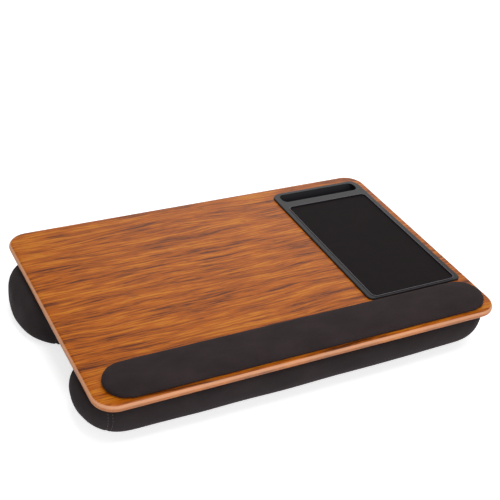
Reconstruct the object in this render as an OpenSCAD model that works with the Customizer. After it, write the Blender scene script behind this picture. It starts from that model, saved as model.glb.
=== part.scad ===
// Cushioned lap desk: a woodgrain board on two soft bolsters, with a padded wrist rest along the
// front and a moulded insert that holds a mouse pad and stands a phone. Sizes are in millimetres.
// X runs to the user's right, Y away from the user and Z up. The bolsters stand on Z = 0.

/* [Board] */
// Width of the board, left to right
board_w = 536; // [460:1:620]
// Depth of the board, front to back
board_d = 356; // [346:1:420]
// Thickness of the board with its foil
board_t = 10; // [8:0.5:14]
// Corner radius of the board in plan
corner_r = 27; // [22:1:50]
// Thickness of the woodgrain foil
foil_t = 0.5; // [0.3:0.1:1]
// Width of foil turned in under the board's edge
foil_wrap = 3; // [2:0.5:6]

/* [Insert] */
// Gap between the insert and the right edge of the board
insert_gap_right = 12.5; // [8:0.5:30]
// Gap between the insert and the back edge of the board
insert_gap_back = 19.5; // [16:0.5:24]
// Gap between the insert and the wrist rest
insert_gap_front = 5.8; // [4:0.1:40]
// Height of the frame above the board
frame_proud = 2.5; // [2:0.1:4]
// Width of the frame beside the mouse pad
frame_side = 8.2; // [7:0.1:12]
// Width of the frame in front of the mouse pad
frame_front = 4.5; // [4:0.5:10]
// Width of the frame behind the phone slot
frame_back = 5.5; // [5.5:0.5:8]
// Depth of the bridge between the mouse pad and the phone slot
bridge_d = 14; // [9:0.5:16]
// Corner radius of the frame at the front
frame_r_front = 8; // [6:0.5:14]
// Corner radius of the frame at the back
frame_r_back = 14; // [10:0.5:20]
// Rounding of the frame's outer top edge
frame_edge_r = 1.2; // [0.6:0.1:1.8]
// Width of the half-round lip round the mouse pad
lip_w = 1.6; // [1:0.1:2.4]
// Wall thickness of the moulding
insert_wall = 2; // [1.4:0.1:2.1]
// Width of the frame that lies on the wood
flange_lap = 3; // [2:0.1:3.2]
// Clearance between the insert's skirt and its window in the board
window_gap = 0.4; // [0.2:0.05:0.5]
// Thickness of the ribs under the mouse pad
rib_t = 1.5; // [1:0.1:2.5]
// Width of a snap hook
hook_w = 12; // [8:0.5:16]
// How far a snap hook reaches under the board
hook_reach = 1.4; // [0.8:0.1:2]

/* [Mouse pad] */
// Width of the mouse pad
pad_w = 125; // [100:1:150]
// Corner radius of the mouse pad
pad_r = 6; // [3:0.5:12]
// Thickness of its rubber base
pad_rubber_t = 1.8; // [1:0.1:2.5]
// Thickness of its woven face
pad_cloth_t = 0.7; // [0.4:0.1:1]
// Depth of the pad's face below the frame
pad_sink = 1; // [0.5:0.1:1.5]
// Clearance round the pad in its recess
pad_gap = 0.3; // [0.1:0.05:0.5]

/* [Phone slot] */
// Length of the phone slot, left to right
slot_len = 124; // [90:1:125]
// Width of the slot at its mouth, front to back
slot_w = 20; // [16:0.5:24]
// Corner radius of the slot
slot_r = 8; // [3:0.5:8]
// How far the back wall leans in at the bottom of the well
slot_lean = 5; // [2:0.5:7]

/* [Wrist rest] */
// Depth of the wrist rest, front to back
rest_d = 55; // [40:1:58]
// Height of the wrist rest above the board
rest_h = 12; // [10:0.5:20]
// Gap between the wrist rest and the front edge of the board
rest_gap_front = 8.5; // [4:0.5:12]
// Gap between the wrist rest and the board's left and right edges
rest_gap_side = 14.5; // [10:0.5:60]
// Thickness of its stiff base plate
rest_base_t = 3; // [2.5:0.1:4]
// Thickness of its cloth
rest_cloth_t = 1.2; // [0.8:0.1:1.6]
// Width of cloth turned in under the base plate
rest_hem_w = 9; // [6:0.5:12]
// How far its long sides swell
rest_crown = 0.6; // [0.3:0.1:2]
// Number of screws that hold it
rest_screws = 5; // [3:1:8]
// Radius of a screw's shank
screw_r = 1.5; // [1.25:0.05:2]
// Radius of a screw's head
screw_head_r = 3; // [2.8:0.05:4]

/* [Cushion] */
// Height of both bolsters, floor to board
bolster_h = 58; // [48:1:80]
// Depth of the front bolster, front to back
front_bolster_d = 115; // [104:1:126]
// Depth of the rear bolster, front to back
rear_bolster_d = 150; // [120:1:156]
// Distance of the front bolster's face from the front edge of the board
front_inset = 1.5; // [0.5:0.5:6]
// Distance of the rear bolster's back from the back edge of the board
rear_inset = 23; // [10:1:30]
// How far each end of the front bolster bulges past the board
front_bulge = 7; // [2:0.5:14]
// How far each end of the rear bolster bulges past the board
rear_bulge = 18; // [2:0.5:20]
// Distance of the cushion's top seam from the board's left and right edges
seam_inset = 4; // [2:0.5:10]
// Corner radius of the cushion along its top seam
seam_r = 38; // [30:1:42]
// Depth below the board at which a bolster is widest
belly_drop = 14; // [8:0.5:20]
// How far the front bolster's bottom edge is rounded in
front_round = 52; // [36:1:54]
// Fullness of its bottom edge, from slack to boxy
front_power = 2.6; // [2.2:0.1:4]
// How far the rear bolster's bottom edge is rounded in
rear_round = 44; // [36:1:56]
// Fullness of its bottom edge, from slack to boxy
rear_power = 4; // [2.2:0.1:5]
// How far the long sides swell between the seams
side_crown = 2; // [0:0.5:3]
// How far the end panels swell between the seams
end_crown = 2; // [0:0.5:3]
// Depth cut flat where a bolster stands
stand_cut = 0.5; // [0.3:0.1:0.8]
// Thickness of the cushion's cloth
cloth_t = 1.5; // [1:0.1:2]
// Thickness of the hardboard backing
backing_t = 2.5; // [2:0.1:4]
// Width of cloth turned in over the backing
hem_w = 14; // [8:1:20]

/* [Hidden] */
$fn = 64;

// Clearance of a glued joint, of a cut seam, and of a filling in its cover
glue_gap = 0.05;
seam_gap = 0.1;
fill_gap = 0.3;
// Overshoot of a cut past a face, and overlap of shapes that only just meet
cut = 1;
sliver = 0.001;

// Heights of the board's underside and top
z_under = bolster_h;
z_top = bolster_h + board_t;
z_mid = (z_under + z_top) / 2;
nose_r = board_t / 2;
edge_flat = 4;
band_w = nose_r + foil_wrap + edge_flat;
board_radii = [corner_r, corner_r, corner_r, corner_r];

// The insert, from its recesses outwards. Radii run back right, back left, front left, front right.
frame_d = board_d - insert_gap_back - insert_gap_front - rest_d - rest_gap_front;
recess_w = pad_w + 2 * pad_gap;
recess_d = frame_d - frame_front - bridge_d - slot_w - frame_back;
pad_d = recess_d - 2 * pad_gap;
recess_r = pad_r + pad_gap;
recess_radii = [recess_r, recess_r, recess_r, recess_r];
frame_w = recess_w + 2 * frame_side;
frame_radii = [frame_r_back, frame_r_back, frame_r_front, frame_r_front];
frame_flat = 1;
frame_band = frame_edge_r + frame_flat;
insert_x = board_w / 2 - insert_gap_right - frame_w / 2;
insert_y = board_d / 2 - insert_gap_back - frame_d / 2;
recess_y = -frame_d / 2 + frame_front + recess_d / 2;
slot_y = frame_d / 2 - frame_back - slot_w / 2;
pad_floor_z = frame_proud - pad_sink - pad_cloth_t - pad_rubber_t;
// The skirt stops short of the board's underside, and the hooks catch under a routed rebate
skirt_short = 0.5;
skirt_h = board_t - skirt_short;
skirt_in = flange_lap + window_gap;
rebate_h = 4;
hook_room = 1.6;
rebate_w = hook_reach + hook_room;
hook_play = 0.2;
hook_top = board_t - rebate_h + hook_play;
hook_root = 0.2;
hook_tip_t = 1;
hook_slit = 1;
hook_slit_top = 2;
hook_pitch = (hook_w + hook_slit) / 2;
rib_columns = 3;
rib_rows = 6;
side_hooks = 3;
end_hooks = 2;

// The wrist rest
rest_w = board_w - 2 * rest_gap_side;
rest_y = -board_d / 2 + rest_gap_front + rest_d / 2;
rest_end_crown = 0.3;
rest_end_flat = 0.5;
rest_end_r = rest_d / 2 - rest_crown - rest_end_flat;
rest_belly = 4;
rest_draw = 1.5;
rest_top_r = 2;
rest_round = rest_end_r - rest_top_r;
rest_power = 2.6;
rest_cut = 0.15;
rest_base_gap = 1;
rest_base_in = rest_cloth_t + rest_base_gap;
rest_base_z = z_top + rest_cloth_t;
screw_pitch = (rest_w - 2 * rest_d) / (rest_screws - 1);
screw_gap = 0.3;
screw_cover = 0.6;
screw_tip_z = rest_base_z + rest_base_t - screw_cover;
countersink_h = screw_head_r - screw_r;

// The cushion. A draw is how far a bolster's top seam lies in from its widest outline.
seam_x = board_w / 2 - seam_inset;
front_half_w = board_w / 2 + front_bulge;
rear_half_w = board_w / 2 + rear_bulge;
front_draw = front_bulge + seam_inset;
rear_draw = rear_bulge + seam_inset;
front_y0 = -board_d / 2 + front_inset;
front_y1 = front_y0 + front_bolster_d;
rear_y1 = board_d / 2 - rear_inset;
rear_y0 = rear_y1 - rear_bolster_d;
// Half the straight stretch that is left between the rounds of an end
end_flat = 1;
// The sewn seams stand where the long sides meet the corner rounds
front_seam_x = front_half_w - end_crown - bolster_r(front_bolster_d, front_draw);
rear_seam_x = rear_half_w - end_crown - bolster_r(rear_bolster_d, rear_draw);
backing_top = z_under - cloth_t;
backing_z = backing_top - backing_t;
backing_y0 = front_y0 + front_draw + cloth_t + seam_gap;
backing_y1 = rear_y1 - rear_draw - cloth_t - seam_gap;
backing_w = 2 * (seam_x - cloth_t - seam_gap);
backing_r = seam_r - cloth_t;

// Points in each quarter round, along each long side and up each part of a soft form
arc_n = 5;
long_n = 6;
belly_n = 3;
round_n = 6;

laminate_brown = "#a5672f";
fibreboard_tan = "#b08a5c";
plastic_grey = "#46423f";
pad_black = "#2a2628";
cloth_charcoal = "#3a3436";
foam_grey = "#8d8d8d";
bead_white = "#e6e4de";
steel_grey = "#9a9c9e";

// Outlines and sweeps

// Rounded rectangle with its own radius at each corner
module rounded_outline(w, d, radii) {
    signs = [[1, 1], [-1, 1], [-1, -1], [1, -1]];
    difference() {
        square([w, d], center = true);
        for (k = [0:3])
            translate([signs[k].x * (w / 2 - radii[k] / 2), signs[k].y * (d / 2 - radii[k] / 2)])
                square(radii[k] + sliver, center = true);
    }
    for (k = [0:3])
        translate([signs[k].x * (w / 2 - radii[k]), signs[k].y * (d / 2 - radii[k])])
            circle(radii[k]);
}

// Carries a 2D section round a rounded rectangle: its x is the distance out from the outline
module edge_sweep(w, d, radii) {
    for (k = [0:3]) {
        out = (k % 2 == 0 ? w : d) / 2;
        half = (k % 2 == 0 ? d : w) / 2;
        before = radii[(k + 3) % 4];
        rotate([0, 0, 90 * k]) {
            translate([out, half - radii[k], 0])
                rotate([90, 0, 0])
                    linear_extrude(2 * half - radii[k] - before) children();
            translate([out - radii[k], half - radii[k], 0])
                rotate_extrude(angle = 90)
                    translate([radii[k], 0]) children();
        }
    }
}

function less(radii, by) = [for (r = radii) r - by];

// Soft forms

function heading(a) = [cos(a), sin(a)];

// One level of a soft form: a rounded rectangle whose sides swell by the crowns
function soft_ring(hx, hy, r, long_crown, short_crown, y, z) =
    let (c = [[hx - r, hy - r], [r - hx, hy - r], [r - hx, r - hy], [hx - r, r - hy]])
    [for (k = [0:3])
        let (
            way = heading(90 * (k + 1)),
            n = k % 2 == 0 ? long_n : 2,
            crown = k % 2 == 0 ? long_crown : short_crown,
            p = c[k] + r * way,
            q = c[(k + 1) % 4] + r * way
        )
        each concat(
            [for (i = [0:arc_n]) c[k] + r * heading(90 * (k + i / arc_n))],
            [for (i = [1:n - 1]) let (t = i / n) p + (q - p) * t + 4 * t * (1 - t) * crown * way]
        )
    ];

// Distance from the seat and inset from the widest outline at each level of a soft form
function soft_levels(draw, belly, depth, round, power, flat) =
    let (full = depth - belly + flat, last = asin(pow(1 - flat / full, power / 2)))
    concat(
        [for (i = [0:belly_n]) let (a = 90 * i / belly_n) [belly * (1 - cos(a)), draw * (1 - sin(a))]],
        [for (i = [1:round_n]) let (a = last * i / round_n)
            [belly + full * pow(sin(a), 2 / power), round * (1 - pow(cos(a), 2 / power))]]
    );

// Closed solid through a list of rings, each a list of [x, y] at its height
module loft(rings, heights) {
    n = len(rings[0]);
    m = len(rings);
    points = [for (i = [0:m - 1]) for (p = rings[i]) [p.x, p.y, heights[i]]];
    sides = [for (i = [0:m - 2]) for (j = [0:n - 1])
        let (a = i * n + j, b = i * n + (j + 1) % n)
        each [[a, a + n, b + n], [a, b + n, b]]];
    bottom = [for (j = [0:n - 1]) j];
    top = [for (j = [0:n - 1]) m * n - 1 - j];
    polyhedron(points, concat([bottom], sides, [top]), convexity = 6);
}

// A bolster's corner radius in plan, where it is widest
function bolster_r(d, draw) = min(seam_r + draw, d / 2 - side_crown - end_flat);

// Inset of a bolster's wall from its widest outline, at a drop below the board
function wall_inset(drop, draw) = draw * (1 - sqrt(1 - pow(1 - min(1, drop / belly_drop), 2)));

// A bolster's whole form, shrunk all round by inset
module bolster_form(half_w, y0, y1, draw, bottom_round, power, inset = 0) {
    hx = half_w - end_crown - inset;
    hy = (y1 - y0) / 2 - side_crown - inset;
    r = bolster_r(y1 - y0, draw);
    levels = soft_levels(draw, belly_drop, bolster_h, min(bottom_round, r), power, stand_cut);
    steps = [for (i = [len(levels) - 1:-1:0]) levels[i]];
    translate([0, (y0 + y1) / 2, 0])
        loft(
            [for (s = steps) soft_ring(hx - s.y, hy - s.y, r - inset - s.y, side_crown, end_crown)],
            [for (s = steps) z_under - s.x * (bolster_h - inset) / bolster_h]
        );
}

module front_form(inset = 0) {
    bolster_form(front_half_w, front_y0, front_y1, front_draw, front_round, front_power, inset);
}

module rear_form(inset = 0) {
    bolster_form(rear_half_w, rear_y0, rear_y1, rear_draw, rear_round, rear_power, inset);
}

// The wrist rest's form, shrunk all round by inset
module rest_form(inset = 0) {
    hx = rest_w / 2 - rest_end_crown - inset;
    hy = rest_d / 2 - rest_crown - inset;
    r = rest_end_r - inset;
    levels = soft_levels(rest_draw, rest_belly, rest_h, rest_round, rest_power, rest_cut);
    translate([0, rest_y, z_top])
        loft(
            [for (s = levels) soft_ring(hx - s.y, hy - s.y, r - s.y, rest_crown, rest_end_crown)],
            [for (s = levels) s.x * (rest_h - inset) / rest_h]
        );
}

// Board

// Section through the board's half-round edge, with nose radius r
module nose_section(r, length) {
    translate([-nose_r, z_mid]) circle(r);
    translate([-length, z_mid - r]) square([length - nose_r, 2 * r]);
}

// The board's outline inside its swept edge
module board_middle() {
    rounded_outline(board_w - 2 * band_w, board_d - 2 * band_w, less(board_radii, band_w));
}

module window(grow, z0, z1) {
    translate([insert_x, insert_y, z0])
        linear_extrude(z1 - z0)
            rounded_outline(
                frame_w - 2 * flange_lap + 2 * grow,
                frame_d - 2 * flange_lap + 2 * grow,
                less(frame_radii, flange_lap - grow)
            );
}

module at_screws() {
    for (i = [0:rest_screws - 1])
        translate([(i - (rest_screws - 1) / 2) * screw_pitch, rest_y, 0]) children();
}

module screw_holes() {
    at_screws() {
        translate([0, 0, z_under - cut]) cylinder(r = screw_r + screw_gap, h = board_t + 2 * cut);
        translate([0, 0, z_under])
            cylinder(r1 = screw_head_r + screw_gap, r2 = screw_r + screw_gap, h = countersink_h);
    }
}

module desk_board() {
    core_r = nose_r - foil_t - glue_gap;
    wrap_x = nose_r + foil_wrap + glue_gap;
    color(fibreboard_tan)
        difference() {
            union() {
                edge_sweep(board_w, board_d, board_radii) {
                    union() {
                        nose_section(core_r, band_w);
                        translate([-band_w, z_under]) square([band_w - wrap_x, nose_r]);
                    }
                }
                translate([0, 0, z_under])
                    linear_extrude(board_t - foil_t - glue_gap)
                        board_middle();
            }
            window(0, z_under - cut, z_top + cut);
            window(rebate_w, z_under - cut, z_under + rebate_h);
            screw_holes();
        }
}

module woodgrain_laminate() {
    color(laminate_brown)
        difference() {
            union() {
                edge_sweep(board_w, board_d, board_radii)
                    difference() {
                        nose_section(nose_r, band_w);
                        nose_section(nose_r - foil_t, band_w + cut);
                        translate([-band_w - cut, z_under - cut])
                            square([band_w + cut - nose_r - foil_wrap, nose_r + cut]);
                    }
                translate([0, 0, z_top - foil_t])
                    linear_extrude(foil_t)
                        board_middle();
            }
            window(0, z_under - cut, z_top + cut);
            screw_holes();
        }
}

// Insert, drawn about the middle of its frame with z = 0 on the board's top

module frame_plate() {
    edge_sweep(frame_w, frame_d, frame_radii)
        intersection() {
            translate([-frame_band, glue_gap]) square([frame_band, frame_proud - glue_gap]);
            union() {
                translate([-frame_band, 0]) square([frame_band - frame_edge_r, frame_proud]);
                translate([-frame_edge_r, 0]) square([frame_edge_r, frame_proud - frame_edge_r]);
                translate([-frame_edge_r, frame_proud - frame_edge_r]) circle(frame_edge_r);
            }
        }
    translate([0, 0, glue_gap])
        linear_extrude(frame_proud - glue_gap)
            rounded_outline(
                frame_w - 2 * frame_band, frame_d - 2 * frame_band, less(frame_radii, frame_band)
            );
}

module lip() {
    radii = less(recess_radii, -lip_w);
    translate([0, recess_y, frame_proud])
        edge_sweep(recess_w + 2 * lip_w, recess_d + 2 * lip_w, radii)
            intersection() {
                translate([-lip_w / 2, 0]) circle(lip_w / 2);
                translate([-lip_w, -lip_w / 2]) square([lip_w, lip_w]);
            }
}

module skirt_outline(inset) {
    rounded_outline(
        frame_w - 2 * skirt_in - 2 * inset, frame_d - 2 * skirt_in - 2 * inset,
        less(frame_radii, skirt_in + inset)
    );
}

module skirt() {
    translate([0, 0, -skirt_h])
        linear_extrude(skirt_h + frame_proud / 2)
            difference() {
                skirt_outline(0);
                skirt_outline(insert_wall);
            }
}

// Floor of the pad recess and the ribs that carry it
module pad_pan() {
    floor_z = pad_floor_z - insert_wall;
    rib_y0 = -frame_d / 2 + skirt_in + insert_wall;
    rib_y1 = slot_y - slot_w / 2 - insert_wall;
    inner_w = frame_w - 2 * skirt_in - insert_wall;
    rib_h = skirt_h + floor_z + insert_wall / 2;
    translate([0, recess_y, floor_z])
        linear_extrude(frame_proud - floor_z - frame_proud / 2)
            rounded_outline(
                recess_w + 2 * insert_wall, recess_d + 2 * insert_wall, less(recess_radii, -insert_wall)
            );
    for (i = [1:rib_columns]) {
        rib_x = inner_w * (i / (rib_columns + 1) - 0.5);
        translate([rib_x - rib_t / 2, rib_y0 - insert_wall / 2, -skirt_h])
            cube([rib_t, rib_y1 - rib_y0 + insert_wall, rib_h]);
    }
    for (i = [1:rib_rows]) {
        rib_y = rib_y0 + (rib_y1 - rib_y0) * i / (rib_rows + 1);
        translate([-inner_w / 2, rib_y - rib_t / 2, -skirt_h])
            cube([inner_w, rib_t, rib_h]);
    }
}

module slot_block() {
    intersection() {
        translate([0, slot_y, -skirt_h])
            linear_extrude(skirt_h + frame_proud / 2)
                square([slot_len + 2 * insert_wall, slot_w + 2 * insert_wall], center = true);
        translate([0, 0, -skirt_h]) linear_extrude(skirt_h + frame_proud / 2) skirt_outline(0);
    }
}

// The well the phone stands in: round-ended in plan, its back wall leaning in towards the bottom
module slot_well() {
    well_z = insert_wall - skirt_h;
    top_z = frame_proud + cut;
    lean_per_mm = slot_lean / (frame_proud - well_z);
    intersection() {
        translate([0, slot_y, well_z])
            linear_extrude(top_z - well_z)
                rounded_outline(slot_len, slot_w, [slot_r, slot_r, slot_r, slot_r]);
        translate([slot_len / 2 + cut, slot_y, 0])
            rotate([90, 0, -90])
                linear_extrude(slot_len + 2 * cut)
                    polygon([
                        [slot_w / 2 + cut, well_z - cut], [slot_w / 2 + cut, top_z + cut],
                        [-slot_w / 2 - lean_per_mm * 2 * cut, top_z + cut],
                        [-slot_w / 2 + slot_lean + lean_per_mm * cut, well_z - cut]
                    ]);
    }
}

module hook() {
    translate([0, hook_w / 2, 0])
        rotate([90, 0, 0])
            linear_extrude(hook_w)
                polygon([
                    [-hook_root, -hook_top], [hook_reach, -hook_top],
                    [hook_reach, -hook_top - hook_tip_t], [0, -skirt_h], [-hook_root, -skirt_h]
                ]);
}

// Places something at each snap hook, with x pointing out of the skirt
module at_hooks() {
    half_w = frame_w / 2 - skirt_in;
    half_d = frame_d / 2 - skirt_in;
    for (side = [0, 180], i = [1:side_hooks])
        rotate([0, 0, side])
            translate([half_w, (i / (side_hooks + 1) - 0.5) * 2 * half_d, 0]) children();
    for (side = [90, 270], i = [1:end_hooks])
        rotate([0, 0, side])
            translate([half_d, (i / (end_hooks + 1) - 0.5) * 2 * half_w, 0]) children();
}

module insert_tray() {
    color(plastic_grey)
        translate([insert_x, insert_y, z_top])
            difference() {
                union() {
                    frame_plate();
                    lip();
                    skirt();
                    pad_pan();
                    slot_block();
                    at_hooks() hook();
                }
                translate([0, recess_y, pad_floor_z])
                    linear_extrude(frame_proud + lip_w - pad_floor_z)
                        rounded_outline(recess_w, recess_d, recess_radii);
                slot_well();
                at_hooks()
                    for (s = [-1, 1])
                        translate([-insert_wall - cut / 2, s * hook_pitch - hook_slit / 2, -skirt_h - cut])
                            cube([insert_wall / 2 + cut, hook_slit, skirt_h + cut - hook_slit_top]);
            }
}

module pad_sheet(z, t) {
    translate([insert_x, insert_y + recess_y, z_top + z])
        linear_extrude(t)
            rounded_outline(pad_w, pad_d, [pad_r, pad_r, pad_r, pad_r]);
}

module mouse_pad_rubber() {
    color(pad_black) pad_sheet(pad_floor_z + glue_gap, pad_rubber_t - glue_gap);
}

module mouse_pad_cloth() {
    color(pad_black) pad_sheet(pad_floor_z + pad_rubber_t + glue_gap, pad_cloth_t - glue_gap);
}

// Wrist rest

module rest_outline(inset) {
    r = rest_end_r - inset;
    rounded_outline(rest_w - 2 * inset, rest_d - 2 * inset, [r, r, r, r]);
}

module wrist_rest_base() {
    color(plastic_grey)
        difference() {
            translate([0, rest_y, rest_base_z])
                linear_extrude(rest_base_t) rest_outline(rest_base_in + rest_draw);
            at_screws()
                translate([0, 0, rest_base_z - cut])
                    cylinder(r = screw_r + glue_gap, h = screw_tip_z - rest_base_z + cut + glue_gap);
        }
}

module wrist_rest_foam() {
    color(foam_grey)
        intersection() {
            rest_form(rest_cloth_t + fill_gap);
            translate([-rest_w / 2, rest_y - rest_d / 2, rest_base_z + rest_base_t + glue_gap])
                cube([rest_w, rest_d, rest_h]);
        }
}

module wrist_rest_cover() {
    color(cloth_charcoal)
        difference() {
            rest_form();
            intersection() {
                rest_form(rest_cloth_t);
                translate([-rest_w / 2, rest_y - rest_d / 2, rest_base_z - glue_gap])
                    cube([rest_w, rest_d, rest_h]);
            }
            translate([0, rest_y, z_top - cut])
                linear_extrude(rest_cloth_t + 2 * cut) rest_outline(rest_base_in + rest_hem_w);
        }
}

module wrist_rest_screws() {
    color(steel_grey)
        at_screws() {
            translate([0, 0, z_under + glue_gap])
                cylinder(r1 = screw_head_r, r2 = screw_r, h = countersink_h);
            translate([0, 0, z_under + glue_gap])
                cylinder(r = screw_r, h = screw_tip_z - z_under - glue_gap);
        }
}

// Cushion

// The backing's outline, grown by grow, between two heights
module backing_slab(grow, z0, z1) {
    r = backing_r + grow;
    translate([0, (backing_y0 + backing_y1) / 2, z0])
        linear_extrude(z1 - z0)
            rounded_outline(
                backing_w + 2 * grow, backing_y1 - backing_y0 + 2 * grow, [r, r, r, r]
            );
}

module cushion_backing() {
    color(fibreboard_tan) backing_slab(0, backing_z, backing_top - glue_gap);
}

// Room for the backing and, above it, the opening inside the turned-in cloth
module backing_room() {
    backing_slab(glue_gap, backing_z - glue_gap, backing_top);
    backing_slab(-hem_w, backing_z, z_under + cut);
}

// Everything below the backing
module below_backing(gap) {
    translate([-board_w, -board_d, -cut])
        cube([2 * board_w, 2 * board_d, backing_z - gap + cut]);
}

// Everything between two values of x
module between(x0, x1) {
    translate([x0, -board_d, -cut]) cube([x1 - x0, 2 * board_d, z_under + 2 * cut]);
}

// The cloth of a bolster between two values of x, from its outer and its inner form
module bolster_cloth(x0, x1) {
    color(cloth_charcoal)
        intersection() {
            difference() {
                children(0);
                intersection() {
                    children(1);
                    below_backing(-cut / 2);
                }
                backing_room();
            }
            between(x0, x1);
        }
}

module front_cloth(x0, x1) {
    bolster_cloth(x0, x1) {
        front_form();
        front_form(cloth_t);
    }
}

module rear_cloth(x0, x1) {
    bolster_cloth(x0, x1) {
        rear_form();
        rear_form(cloth_t);
    }
}

module front_bolster_sleeve() {
    front_cloth(-front_seam_x + seam_gap, front_seam_x - seam_gap);
}

module front_bolster_end_left() {
    front_cloth(-board_w, -front_seam_x - seam_gap);
}

module front_bolster_end_right() {
    front_cloth(front_seam_x + seam_gap, board_w);
}

module rear_bolster_sleeve() {
    rear_cloth(-rear_seam_x + seam_gap, rear_seam_x - seam_gap);
}

module rear_bolster_end_left() {
    rear_cloth(-board_w, -rear_seam_x - seam_gap);
}

module rear_bolster_end_right() {
    rear_cloth(rear_seam_x + seam_gap, board_w);
}

module front_bolster_fill() {
    color(bead_white)
        intersection() {
            front_form(cloth_t + fill_gap);
            below_backing(fill_gap);
        }
}

module rear_bolster_fill() {
    color(bead_white)
        intersection() {
            rear_form(cloth_t + fill_gap);
            below_backing(fill_gap);
        }
}

// Cloth between the bolsters, turned up round the ends of the backing
module centre_panel() {
    drop = z_under - backing_z + cloth_t;
    y0 = front_y1 - wall_inset(drop, front_draw) + fill_gap;
    y1 = rear_y0 + wall_inset(drop, rear_draw) - fill_gap;
    color(cloth_charcoal)
        difference() {
            translate([-seam_x, y0, backing_z - cloth_t])
                cube([2 * seam_x, y1 - y0, z_under - backing_z + cloth_t]);
            backing_room();
        }
}

desk_board();
woodgrain_laminate();
insert_tray();
mouse_pad_rubber();
mouse_pad_cloth();
wrist_rest_base();
wrist_rest_foam();
wrist_rest_cover();
wrist_rest_screws();
cushion_backing();
centre_panel();
front_bolster_sleeve();
front_bolster_end_left();
front_bolster_end_right();
front_bolster_fill();
rear_bolster_sleeve();
rear_bolster_end_left();
rear_bolster_end_right();
rear_bolster_fill();
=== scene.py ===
"""Cushioned lap desk: a woodgrain board on two soft bolsters, with a padded wrist rest and a
moulded insert that holds a mouse pad, with a narrow well behind it.

The frame holds every hard piece. This script gives each its finish and makes the soft pieces,
their stitching, the stage and the camera. Lengths are in metres, in the frame's own axes.
"""
import math

import bmesh
import bpy
from bpy.props import FloatProperty, FloatVectorProperty, IntProperty, PointerProperty
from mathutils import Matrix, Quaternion, Vector, noise


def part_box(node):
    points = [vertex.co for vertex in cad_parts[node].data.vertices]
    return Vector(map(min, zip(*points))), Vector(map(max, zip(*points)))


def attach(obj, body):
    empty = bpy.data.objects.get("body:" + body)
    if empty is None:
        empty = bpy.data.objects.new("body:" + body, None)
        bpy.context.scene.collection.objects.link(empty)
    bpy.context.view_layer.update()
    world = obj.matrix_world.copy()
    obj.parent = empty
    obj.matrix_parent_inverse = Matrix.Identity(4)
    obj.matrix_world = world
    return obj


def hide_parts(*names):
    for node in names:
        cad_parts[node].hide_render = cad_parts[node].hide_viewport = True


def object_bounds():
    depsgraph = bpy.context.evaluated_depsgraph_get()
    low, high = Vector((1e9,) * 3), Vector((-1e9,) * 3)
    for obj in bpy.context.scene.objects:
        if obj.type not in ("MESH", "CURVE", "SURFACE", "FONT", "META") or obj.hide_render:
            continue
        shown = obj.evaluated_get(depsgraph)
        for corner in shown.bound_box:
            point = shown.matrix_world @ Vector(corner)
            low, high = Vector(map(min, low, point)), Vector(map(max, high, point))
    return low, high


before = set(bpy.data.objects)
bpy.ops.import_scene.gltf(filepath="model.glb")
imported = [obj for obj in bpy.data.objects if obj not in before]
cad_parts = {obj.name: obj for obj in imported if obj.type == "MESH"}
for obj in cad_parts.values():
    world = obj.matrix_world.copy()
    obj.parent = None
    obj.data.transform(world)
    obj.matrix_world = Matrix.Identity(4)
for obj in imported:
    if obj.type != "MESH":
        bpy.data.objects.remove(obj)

bl_info = {
    "name": "Cushioned Lap Desk",
    "version": (1, 0, 0),
    "blender": (4, 5, 0),
    "location": "3D View > Sidebar > Lap Desk",
    "description": "Dresses a packed lap desk with its finishes, soft pieces, stage and camera",
    "category": "Object",
}

MM = 0.001
WHITE = (1.0, 1.0, 1.0, 1.0)

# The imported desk: its one body, its box, its board with the foil, and the height over which the
# cushion's cloth is glued between the backing and the board
BODY = "root"
CAD_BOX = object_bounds()
BOARD_LOW, BOARD_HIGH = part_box("woodgrain_laminate")
BACKING_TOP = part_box("cushion_backing")[1].z

# How far a soft piece stays off what it lies on, off the board above it and off its neighbour
FLOOR_GAP = 0.05 * MM
BOARD_GAP = 0.1 * MM
SEAM_GAP = 0.1 * MM
# Points closer than this are one point
MERGE = 0.01 * MM
# Distance below the board over which a bolster's settling fades in
SETTLE_FADE = 10 * MM
# Half a stitch's thickness, and how far its middle lies out from the cloth
THREAD_RADIUS = 0.34 * MM
THREAD_LIFT = 0.12 * MM

# The photograph's side in pixels, and the camera's sensor in millimetres
PHOTO_PIXELS = 500
SENSOR_WIDTH = 36.0


def linear(hex_code):
    """The linear colour of an sRGB hex value."""
    channels = [int(hex_code[at:at + 2], 16) / 255 for at in (1, 3, 5)]
    return tuple(c / 12.92 if c <= 0.04045 else ((c + 0.055) / 1.055) ** 2.4 for c in channels)


def scaled(colour, by):
    """A colour made lighter or darker, with the alpha that a socket takes."""
    return (*(min(1.0, c * by) for c in colour), 1.0)


def every(length):
    """The texture scale at which a pattern repeats every so many metres."""
    return 1.0 / length


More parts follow.
